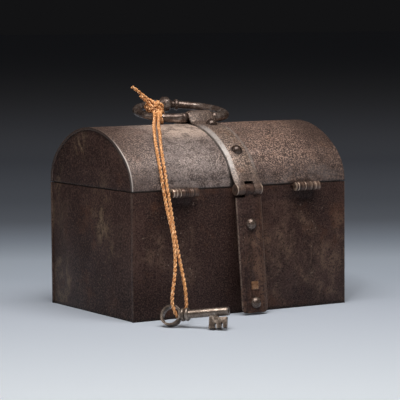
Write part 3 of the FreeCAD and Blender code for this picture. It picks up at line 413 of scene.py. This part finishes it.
def grained(finish, base, broad, scale, share):
    """Finishes a dark sheet with fine grains, pits and a few bright flecks, and its gloss and bumps."""
    base, grain, pits = speckle(finish, base, scale, SHEET_GRAIN, share, SHEET_PIT, 0.8)
    flecks = finish.math("MULTIPLY", finish.band(finish.noise(480, 2, 0.5), 0.67, 0.71),
                         finish.band(finish.noise(26, 3, 0.5), 0.48, 0.62))
    base = finish.mix(finish.math("MULTIPLY", flecks, 0.5), base, SHEET_FLECK)
    finish.colour(base)
    finish.rough(finish.band(broad, 0.3, 0.7, 0.56, 0.42))
    finish.bump([(broad, 0.22, 0.0018), (grain, 0.5, 0.0004), (pits, 0.4, 0.0003)])


def dark_box_iron(name, streak, smear, smear_share, grain_scale, grain_share, edge):
    """The box's sheets: their upright edges coloured as the edge argument says (worn pale on the long sides, a
    painted shade at the joints on the ends), and painted shade along the foot and under the lid's seam.
    """
    finish = Finish(name, metallic=0.1, specular=0.16)
    base, broad = dark_sheet(finish, streak, smear, smear_share)
    axis, place, colour, share = edge
    # Upright edges: worn pale on the long sides; on the ends a painted shade at the joints
    corner = finish.band(finish.math("ABSOLUTE", finish.axis(axis)), place - 0.0008, place - 0.0001)
    patchy = finish.band(finish.noise(80, 4, 0.6), 0.36, 0.60, 0.2 * share, share)
    base = finish.mix(finish.math("MULTIPLY", corner, patchy), base, colour)
    # Painted shade along the foot and under the lid's seam
    foot = finish.band(finish.axis("Z"), *BOX_FOOT, 0.0, 0.95)
    shaded = finish.math("MAXIMUM", foot, lid_seam(finish))
    base = finish.mix(shaded, base, FOOT_SHADE)
    grained(finish, base, broad, grain_scale, grain_share)
    return finish.material


def leaf_iron():
    """The hanging leaf: brown, rustier low down, its side edges worn pale, with a dark line inside them."""
    finish = Finish("leaf_iron", metallic=0.15, specular=0.22)
    base, broad = dark_sheet(finish, (1.4, 0.4, 0.12), LEAF_SMEAR, 0.52)
    low = finish.math("MULTIPLY", finish.band(finish.axis("Z"), *LEAF_LOW),
                      finish.band(finish.noise(70, 6, 0.7), 0.42, 0.60))
    base = finish.mix(finish.math("MULTIPLY", low, 0.5), base, LEAF_RUST)
    from_middle = finish.math("ABSOLUTE", finish.math("SUBTRACT", finish.axis("X"), STRAP_MIDDLE))
    inside = finish.math("MULTIPLY", finish.band(from_middle, STRAP_FLAT - 0.0004, STRAP_FLAT),
                         finish.band(from_middle, STRAP_FLAT + 0.0005, STRAP_FLAT + 0.0001))
    base = finish.mix(finish.math("MULTIPLY", inside, 0.7), base, LEAF_LINE)
    edge = finish.math("MULTIPLY", finish.band(from_middle, STRAP_HALF - 0.0010, STRAP_HALF - 0.0002),
                       finish.band(finish.noise(80, 4, 0.6), 0.36, 0.60, 0.15, 0.6))
    base = finish.mix(edge, base, LEAF_EDGE)
    grained(finish, base, broad, 700, 0.34)
    return finish.material


def strap_iron():
    """Forged strap over the lid: rusty and speckled on its flat, worn along its bevels and knuckles, with a
    painted highlight on the bevels that is brighter on the left one.
    """
    finish = Finish("strap_iron", metallic=0.25)
    broad = finish.noise(60, 6, 0.65, distortion=0.3)
    base = finish.ramp(broad, [(0.32, (0.060, 0.036, 0.030)), (0.50, (0.124, 0.086, 0.072)),
                               (0.68, (0.195, 0.148, 0.127))])
    rust = finish.band(finish.noise(100, 6, 0.7), 0.53, 0.66)
    base = finish.mix(finish.math("MULTIPLY", rust, 0.55), base, STRAP_RUST)
    blotch = finish.band(finish.noise(160, 5, 0.68, distortion=0.3), 0.50, 0.40, 0.0, 0.6)
    base = finish.mix(blotch, base, STRAP_BLOTCH)
    height = finish.axis("Z")
    from_middle = finish.math("SUBTRACT", finish.axis("X"), STRAP_MIDDLE)
    off_middle = finish.math("ABSOLUTE", from_middle)
    # The bevels: worn bare metal, with a painted highlight that makes the left bevel brighter than the right
    # and leaves the hump out
    bevel = finish.band(off_middle, STRAP_FLAT - 0.0002, STRAP_FLAT + 0.0008)
    bevel = finish.math("MULTIPLY", bevel, finish.band(from_middle, -0.004, 0.004, 1.0, 0.5))
    high = finish.band(height, *STRAP_WEAR)
    pale_share = finish.band(high, 0.0, 1.0, 0.25, 0.7)
    base, grain, pits = speckle(finish, base, 860, STRAP_GRAIN, pale_share, STRAP_PIT, 1.0)
    worn = finish.math("MULTIPLY", bevel, finish.band(finish.noise(70, 5, 0.6), 0.32, 0.56, 0.35, 0.85))
    hump = finish.band(height, *STRAP_HUMP)
    worn = finish.math("MULTIPLY", worn, finish.math("SUBTRACT", high, hump))
    base = finish.mix(worn, base, STRAP_BEVEL_WEAR_AND_HIGHLIGHT)
    base = finish.mix(finish.math("MULTIPLY", hump, 0.5), base, STRAP_HUMP_SHADE)
    low = finish.band(height, *STRAP_KNUCKLE)
    base = finish.mix(finish.math("MULTIPLY", low, 0.6), base, KNUCKLE_RUST)
    rim = finish.math("MULTIPLY", finish.band(off_middle, STRAP_HALF - 0.0014, STRAP_HALF - 0.0005),
                      finish.band(off_middle, STRAP_HALF - 0.00002, STRAP_HALF - 0.0002))
    rim = finish.math("MULTIPLY", finish.math("MULTIPLY", rim, low), 0.75)
    base = finish.mix(rim, base, KNUCKLE_RIM)
    finish.colour(base)
    finish.rough(finish.band(grain, 0.38, 0.62, 0.54, 0.38))
    finish.bump([(broad, 0.3, 0.0010), (grain, 0.55, 0.0004), (pits, 0.45, 0.0004)])
    return finish.material


def forged_iron(name, dark, middle, pale, metallic, rough_low, rough_high, mottle=150, dents=1.0):
    """Hammered iron with a dark skin that is worn pale on its high spots."""
    finish = Finish(name, metallic=metallic)
    broad = finish.noise(mottle, 5, 0.6, distortion=0.3)
    base = finish.ramp(broad, [(0.32, dark), (0.52, middle), (0.70, pale)])
    rust = finish.band(finish.noise(240, 5, 0.7), 0.56, 0.68)
    base = finish.mix(finish.math("MULTIPLY", rust, 0.4), base, FORGED_RUST)
    fine = finish.noise(900, 4, 0.65)
    base = finish.mix(finish.band(fine, 0.47, 0.38, 0.0, 0.55), base, FORGED_PIT)
    finish.colour(base)
    finish.rough(finish.band(broad, 0.3, 0.7, rough_high, rough_low))
    finish.bump([(broad, 0.35 * dents, 0.0006), (fine, 0.3 * dents, 0.0003)])
    return finish.material


def barrel_iron():
    """Rolled hinge barrels: brown, with bright lines running round them that are painted highlights, like lit
    knuckle edges.
    """
    finish = Finish("barrel_iron", metallic=0.45)
    broad = finish.noise(120, 5, 0.6)
    base = finish.ramp(broad, [(0.32, (0.056, 0.031, 0.024)), (0.52, (0.115, 0.068, 0.051)),
                               (0.70, (0.205, 0.135, 0.102))])
    # Painted highlights: bright lines round the barrels, like lit knuckle edges
    rings = finish.noise(420, 2, 0.5, stretch=(1, 0.03, 0.03))
    lines = finish.math("MULTIPLY", finish.band(rings, 0.53, 0.56), finish.band(rings, 0.62, 0.59))
    base = finish.mix(finish.math("MULTIPLY", lines, 0.85), base, BARREL_HIGHLIGHT_LINE)
    base = finish.mix(finish.band(rings, 0.46, 0.38, 0.0, 0.8), base, BARREL_GROOVE)
    finish.colour(base)
    finish.rough(finish.band(rings, 0.4, 0.62, 0.48, 0.28))
    finish.bump([(broad, 0.3, 0.0006), (rings, 0.5, 0.0005)])
    return finish.material


def twine_fibre():
    """Natural two-ply twine, orange-tan, with darker fibres along it."""
    finish = Finish("twine_fibre", roughness=0.85, specular=0.2)
    finish.shader.inputs["Sheen Weight"].default_value = 0.1
    finish.shader.inputs["Sheen Roughness"].default_value = 0.5
    strands = finish.noise(1300, 4, 0.6, stretch=(1, 1, 0.35))
    base = finish.ramp(strands, [(0.36, (0.17, 0.048, 0.011)), (0.50, (0.59, 0.250, 0.084)),
                                 (0.64, (0.97, 0.650, 0.380))])
    broad = finish.noise(130, 3, 0.5)
    base = finish.mix(finish.band(broad, 0.45, 0.65, 0.0, 0.45), base, TWINE_TINT)
    finish.colour(base)
    finish.bump([(strands, 0.6, 0.0003)])
    return finish.material


FINISHES = {
    "lid": pitted_lid_iron(),
    "long_side": dark_box_iron("dark_long_side_iron", streak=(1.4, 0.4, 0.16), smear=(0.170, 0.108, 0.076),
                               smear_share=0.58, grain_scale=860, grain_share=0.36,
                               edge=("X", LONG_SIDE_EDGE, (0.16, 0.120, 0.098), 0.5)),
    # The end sheets' upright edges get a painted shade at the joints
    "end_side": dark_box_iron("dark_end_side_iron", streak=(0.4, 1.4, 0.16), smear=(0.212, 0.150, 0.096),
                              smear_share=0.80, grain_scale=680, grain_share=0.50,
                              edge=("Y", END_SIDE_EDGE, GAP_SHADE, 0.9)),
    "leaf": leaf_iron(),
    "strap": strap_iron(),
    "rivet": forged_iron("rivet_iron", dark=(0.044, 0.029, 0.024), middle=(0.070, 0.048, 0.039),
                         pale=(0.120, 0.088, 0.072), metallic=0.45, rough_low=0.17, rough_high=0.26,
                         mottle=420, dents=0.3),
    "bright_rivet": forged_iron("bright_rivet_iron", dark=(0.056, 0.038, 0.031), middle=(0.115, 0.084, 0.069),
                                pale=(0.240, 0.190, 0.160), metallic=0.5, rough_low=0.18, rough_high=0.28,
                                mottle=420, dents=0.3),
    "ring": forged_iron("ring_iron", dark=(0.046, 0.029, 0.023), middle=(0.145, 0.106, 0.090),
                        pale=(0.380, 0.325, 0.295), metallic=0.6, rough_low=0.18, rough_high=0.36),
    "key": forged_iron("key_iron", dark=(0.085, 0.062, 0.050), middle=(0.200, 0.158, 0.130),
                       pale=(0.400, 0.340, 0.295), metallic=0.65, rough_low=0.20, rough_high=0.34,
                       mottle=220, dents=0.6),
    "stud": forged_iron("stud_iron", dark=(0.13, 0.058, 0.028), middle=(0.30, 0.160, 0.085),
                        pale=(0.55, 0.360, 0.225), metallic=0.45, rough_low=0.24, rough_high=0.40, mottle=420),
    "hinge": forged_iron("hinge_iron", dark=(0.055, 0.038, 0.030), middle=(0.100, 0.075, 0.060),
                         pale=(0.190, 0.150, 0.122), metallic=0.4, rough_low=0.36, rough_high=0.52),
    "barrel": barrel_iron(),
    "twine": twine_fibre(),
}

NODE_FINISH = {
    "bottom_plate": "end_side", "back_panel": "long_side", "front_panel": "long_side",
    "left_end_panel": "end_side", "right_end_panel": "end_side",
    "lid_shell": "lid", "lid_left_end": "end_side", "lid_right_end": "end_side",
    "lid_strap": "strap", "hanging_leaf": "leaf",
    "lid_strap_rivets": "rivet", "leaf_rivets": "bright_rivet", "leaf_stud": "stud",
    "body_leaf_rivets": "long_side", "lid_leaf_rivets": "lid",
    "left_hinge_body_leaf": "barrel", "right_hinge_body_leaf": "barrel",
    "left_hinge_lid_leaf": "barrel", "right_hinge_lid_leaf": "barrel",
    "handle_ring": "ring", "casket_key": "key",
}


def finish_of(node):
    return FINISHES[NODE_FINISH.get(node, "hinge")]


def set_finish(piece, material):
    piece.data.materials.clear()
    piece.data.materials.append(material)


def new_piece(name, mesh, body, material):
    piece = bpy.data.objects.new(name, mesh)
    SCENE.collection.objects.link(piece)
    set_finish(piece, material)
    if body:
        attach(piece, body)
    return piece


def softened(node, body, width):
    """A copy of a node with its edges rounded by wear."""
    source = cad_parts[node]
    shape = bmesh.new()
    shape.from_mesh(source.data)
    bmesh.ops.remove_doubles(shape, verts=shape.verts, dist=MERGE_DISTANCE)
    bmesh.ops.dissolve_limit(shape, angle_limit=FLAT, verts=shape.verts, edges=shape.edges)
    sharp = [edge for edge in shape.edges if edge.is_manifold and edge.calc_face_angle(0) > SHARP]
    bmesh.ops.bevel(shape, geom=sharp, offset=width, offset_type="OFFSET", segments=WEAR_SEGMENTS,
                    profile=0.5, affect="EDGES", clamp_overlap=True, material=-1)
    for face in shape.faces:
        face.smooth = True
    for edge in shape.edges:
        edge.smooth = edge.calc_face_angle(0) < SHARP
    mesh = bpy.data.meshes.new(node + "_worn")
    shape.to_mesh(mesh)
    shape.free()
    piece = new_piece(node + "_worn", mesh, body, finish_of(node))
    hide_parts(node)
    return piece


def route_points(name, route):
    """The smooth line of a cord: points read from a spline on the route, in metres."""
    curve = bpy.data.curves.new(name + "_route", "CURVE")
    curve.dimensions = "3D"
    curve.resolution_u = ROUTE_STEPS
    spline = curve.splines.new("NURBS")
    spline.points.add(len(route) - 1)
    for point, place in zip(spline.points, route):
        point.co = (place[0] * MM, place[1] * MM, place[2] * MM, 1)
    spline.order_u = 3
    spline.use_endpoint_u = True
    holder = bpy.data.objects.new(name + "_route", curve)
    SCENE.collection.objects.link(holder)
    mesh = bpy.data.meshes.new_from_object(holder)
    points = [vertex.co.copy() for vertex in mesh.vertices]
    bpy.data.objects.remove(holder)
    return points


def tube_mesh(lines):
    """Round plies along lines of points, as one mesh."""
    curve = bpy.data.curves.new("tube", "CURVE")
    curve.dimensions = "3D"
    curve.bevel_depth = PLY_RADIUS
    curve.bevel_resolution = PLY_ROUNDNESS
    curve.use_fill_caps = True
    for points in lines:
        spline = curve.splines.new("POLY")
        spline.points.add(len(points) - 1)
        for target, place in zip(spline.points, points):
            target.co = (*place, 1)
    holder = bpy.data.objects.new("tube", curve)
    SCENE.collection.objects.link(holder)
    mesh = bpy.data.meshes.new_from_object(holder)
    bpy.data.objects.remove(holder)
    for polygon in mesh.polygons:
        polygon.use_smooth = True
    return mesh


def even_points(points, step):
    """The same line with its points a fixed step apart."""
    spaced = [points[0]]
    left = step
    for before, after in zip(points, points[1:]):
        run = (after - before).length
        while run > SHORTEST_RUN and left <= run:
            before = before + (after - before) * (left / run)
            spaced.append(before)
            run = (after - before).length
            left = step
        left -= run
    if (points[-1] - spaced[-1]).length > step * LAST_STEP_SHARE:
        spaced.append(points[-1])
    else:
        spaced[-1] = points[-1]
    return spaced


def plies(points, side=None):
    """Two strands laid round a line, as twine is twisted; side says where the first one starts."""
    spaced = even_points(points, PLY_STEP)
    side = side or (spaced[1] - spaced[0]).orthogonal().normalized()
    strands = [[], []]
    for number, place in enumerate(spaced):
        before = spaced[max(number - 1, 0)]
        after = spaced[min(number + 1, len(spaced) - 1)]
        along = (after - before).normalized()
        side = (side - along * side.dot(along)).normalized()
        across = along.cross(side)
        angle = 2 * math.pi * number * PLY_STEP / TWINE_LAY
        for strand, start in zip(strands, (0.0, math.pi)):
            lean = side * math.cos(angle + start) + across * math.sin(angle + start)
            strand.append(place + lean * PLY_OFFSET)
    return strands


# Routes of the twine, in millimetres: the strands and the loop where the solids lie, and the knot's two ends
UPPER_LEFT = [
    (-34.0, 7.0, 151.3), (-38.0, -1.0, 145.6), (-43.5, -9.0, 143.2), (-50.0, -20.0, 141.2),
    (-56.6, -32.2, 137.2), (-62.4, -43.4, 131.6), (-66.6, -53.0, 124.6), (-69.2, -60.6, 116.0),
    (-70.4, -65.8, 106.6), (-70.6, -68.2, 99.0), (-70.6, -70.0, 94.0)]
UPPER_RIGHT = [
    (-30.4, 6.3, 151.9), (-34.4, -1.5, 146.3), (-40.2, -10.0, 143.3), (-46.6, -21.0, 141.1),
    (-52.4, -33.2, 136.8), (-58.6, -44.4, 131.0), (-63.0, -53.8, 123.8), (-65.8, -61.2, 115.2),
    (-67.0, -66.0, 106.0), (-67.2, -68.2, 99.0), (-67.2, -70.0, 94.0)]
LOWER_LOOP = [
    (-70.6, -70.05, 93.8), (-70.9, -74.2, 82.5), (-71.4, -81.4, 70.5), (-72.0, -86.2, 59.0),
    (-73.6, -90.2, 47.5), (-76.4, -94.0, 36.5), (-80.2, -97.4, 26.6), (-82.3, -99.2, 18.0),
    (-80.6, -100.6, 10.6), (-77.4, -100.2, 6.2), (-72.4, -99.3, 6.0), (-69.4, -98.8, 11.0),
    (-69.2, -97.0, 25.4), (-69.3, -93.6, 36.0), (-69.2, -88.6, 47.5), (-68.6, -83.4, 59.0),
    (-68.2, -78.6, 70.5), (-67.5, -74.0, 82.5), (-67.2, -70.05, 93.8)]
TAIL = [
    (-30.5, 11.6, 157.4), (-35.5, 11.4, 159.4), (-40.5, 11.3, 162.8), (-45.5, 11.4, 166.6),
    (-50.6, 12.0, 170.4)]
SHORT_END = [(-31.8, 11.8, 155.6), (-36.8, 11.5, 157.7), (-41.2, 11.4, 161.0), (-43.8, 11.4, 163.4)]


def twine(name, strands, node, body):
    piece = new_piece(name, tube_mesh(strands), body, FINISHES["twine"])
    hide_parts(node)
    return piece


# The knot, in metres: the middle of its lump, its directions as the photograph sees them, the turns of the lump
# (lean in degrees, shift, two half-widths and wave), the turn round all of them, and the middle and direction
# of the ring's arm under it with the turns round that
KNOT_MIDDLE = Vector((-0.0310, 0.0120, 0.1543))
KNOT_RIGHT = Vector((0.854, -0.520, 0.0))
KNOT_TOWARD = Vector((-0.520, -0.854, 0.0))
UP = Vector((0, 0, 1))
KNOT_TURNS = [
    (-34, -0.0034, 0.0052, 0.0040, 0.0004), (-28, -0.0006, 0.0062, 0.0046, 0.0005),
    (-38, 0.0022, 0.0058, 0.0042, 0.0005), (48, 0.0002, 0.0050, 0.0052, 0.0006)]
BELT_ALONG = KNOT_RIGHT * 0.0066
BELT_ACROSS = UP * 0.0036 + KNOT_TOWARD * 0.0012
BELT_WAVE = 0.0008
ARM_MIDDLE = Vector((-0.0292, 0.0062, 0.1466))
ARM_ALONG = Vector((0.78, -0.62, -0.08)).normalized()
ARM_TURN_WIDTH = 0.0050
ARM_TURN_HEIGHT = 0.0043
ARM_TURN_SHIFT = 0.0014
ARM_TURN_WAVE = 0.0004


def turn_line(middle, first, second, wave):
    """One closed turn of twine: an oval with two half-widths as vectors, rising and falling a little."""
    rise = first.cross(second).normalized() * wave
    line = []
    for step in range(TURN_STEPS + 1):
        angle = 2 * math.pi * step / TURN_STEPS
        oval = first * math.cos(angle) + second * math.sin(angle)
        line.append(middle + oval + rise * math.sin(2 * angle))
    return line


def knot_lines():
    """The knot: two turns round the ring's arm, and a lump of turns wound across each other above it."""
    lines = []
    arm_side = ARM_ALONG.cross(UP).normalized()
    for shift in (-ARM_TURN_SHIFT, ARM_TURN_SHIFT):
        lines.append(turn_line(ARM_MIDDLE + ARM_ALONG * shift, arm_side * ARM_TURN_WIDTH,
                               UP * ARM_TURN_HEIGHT, ARM_TURN_WAVE))
    for lean, shift, width, depth, wave in KNOT_TURNS:
        angle = math.radians(lean)
        along = KNOT_RIGHT * math.cos(angle) + UP * math.sin(angle)
        across = UP * math.cos(angle) - KNOT_RIGHT * math.sin(angle)
        lines.append(turn_line(KNOT_MIDDLE + across * shift, along * width, KNOT_TOWARD * depth, wave))
    lines.append(turn_line(KNOT_MIDDLE, BELT_ALONG, BELT_ACROSS, BELT_WAVE))
    return lines


def build_knot():
    lines = []
    for loop in knot_lines():
        lines += plies(loop)
    for name, route in (("tail", TAIL), ("short_end", SHORT_END)):
        lines += plies(route_points(name, route))
    piece = new_piece("twine_knot", tube_mesh(lines), "handle", FINISHES["twine"])
    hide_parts("cord_knot", "cord_tail")
    return piece


def build_twine():
    """The doubled twine: its twist runs on from one upper strand through the loop to the other."""
    knot = build_knot()
    left_points = route_points("twine_upper_left", UPPER_LEFT)
    right_points = route_points("twine_upper_right", UPPER_RIGHT)
    loop_points = route_points("twine_loop", LOWER_LOOP)
    left_strands = plies(left_points + [loop_points[0]])
    loop_strands = plies(loop_points, left_strands[0][-1] - loop_points[0])
    right_strands = plies([loop_points[-1]] + right_points[::-1], loop_strands[0][-1] - loop_points[-1])
    left = twine("twine_upper_left", left_strands, "cord_upper_left", None)
    right = twine("twine_upper_right", right_strands, "cord_upper_right", None)
    loop = twine("twine_loop", loop_strands, "cord_lower_loop", "box")
    for piece, points in ((left, left_points), (right, right_points)):
        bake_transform(piece)


# The floor's painted light: its colour by distance behind the casket along the line of sight, in metres, bright
# in front, dark behind the casket and pale again far off
FLOOR_PAINTED_LIGHT = [
    (-0.38, (0.545, 0.604, 0.672)), (-0.04, (0.420, 0.472, 0.556)), (0.17, (0.365, 0.422, 0.505)),
    (0.29, (0.360, 0.418, 0.500)), (0.46, (0.240, 0.282, 0.348)), (0.66, (0.150, 0.172, 0.211)),
    (0.92, (0.150, 0.172, 0.211)), (1.65, (0.225, 0.252, 0.311)), (3.0, (0.52, 0.56, 0.66)),
    (6.0, (0.85, 0.88, 0.95))]

# The floor's half-width, the nearest distance that is told apart, and what squeezes distances into 0 to 1
FLOOR_HALF = 40
NEAREST = -0.49
NEAR_ROOM = 0.5
FAR_ROOM = 1.5
WORLD_COLOUR = (0.0065, 0.0065, 0.007, 1)


def far_share(distance):
    """Squeezes a distance behind the casket into 0 to 1, most room for what is near."""
    return (distance + NEAR_ROOM) / (distance + FAR_ROOM)


def studio():
    """A floor with painted light, pale in front and falling into the dark behind, and soft lamps, most of the
    light from above.
    """
    shape = bmesh.new()
    bmesh.ops.create_grid(shape, x_segments=1, y_segments=1, size=FLOOR_HALF)
    mesh = bpy.data.meshes.new("floor")
    shape.to_mesh(mesh)
    shape.free()
    floor = bpy.data.objects.new("floor", mesh)
    SCENE.collection.objects.link(floor)
    finish = Finish("studio_floor", roughness=0.6, specular=0.2)
    azimuth = math.radians(VIEW_AZIMUTH)
    behind = finish.math("ADD", finish.math("MULTIPLY", finish.axis("X"), -math.sin(azimuth)),
                         finish.math("MULTIPLY", finish.axis("Y"), math.cos(azimuth)))
    behind = finish.math("MAXIMUM", behind, NEAREST)
    share = finish.math("DIVIDE", finish.math("ADD", behind, NEAR_ROOM), finish.math("ADD", behind, FAR_ROOM))
    # Painted light: the floor's brightness falls off behind the casket as a lamp's would
    stops = [(far_share(distance), colour) for distance, colour in FLOOR_PAINTED_LIGHT]
    finish.colour(finish.ramp(share, stops))
    set_finish(floor, finish.material)
    world = bpy.data.worlds.new("studio_world")
    world.use_nodes = True
    world.node_tree.nodes["Background"].inputs["Color"].default_value = WORLD_COLOUR
    world.node_tree.nodes["Background"].inputs["Strength"].default_value = 1.0
    SCENE.world = world
    for lamp in LAMPS:
        area_lamp(*lamp)


# Pieces whose edges are rounded by wear: node, body and width of the rounding in metres
WORN = [
    ("bottom_plate", "box", 0.0003), ("back_panel", "box", 0.0004), ("front_panel", "box", 0.0004),
    ("left_end_panel", "box", 0.0003), ("right_end_panel", "box", 0.0003), ("lid_shell", "lid", 0.0004),
    ("lid_left_end", "lid", 0.0003), ("lid_right_end", "lid", 0.0003), ("lid_strap", "lid", 0.0004),
    ("hanging_leaf", "leaf", 0.0004), ("lid_strap_rivets", "lid", 0.0002),
    ("leaf_rivets", "leaf", 0.0002), ("leaf_stud", "leaf", 0.0005), ("handle_ring", "handle", 0.0003),
    ("casket_key", "box", 0.0003),
    ("left_hinge_body_leaf", "box", 0.0002), ("right_hinge_body_leaf", "box", 0.0002),
    ("left_hinge_lid_leaf", "lid", 0.0002), ("right_hinge_lid_leaf", "lid", 0.0002),
]

place_camera()
for node, node_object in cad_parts.items():
    set_finish(node_object, finish_of(node))
worn_pieces = {node: softened(node, body, width) for node, body, width in WORN}
build_twine()
studio()

SCENE.view_settings.view_transform = "Standard"
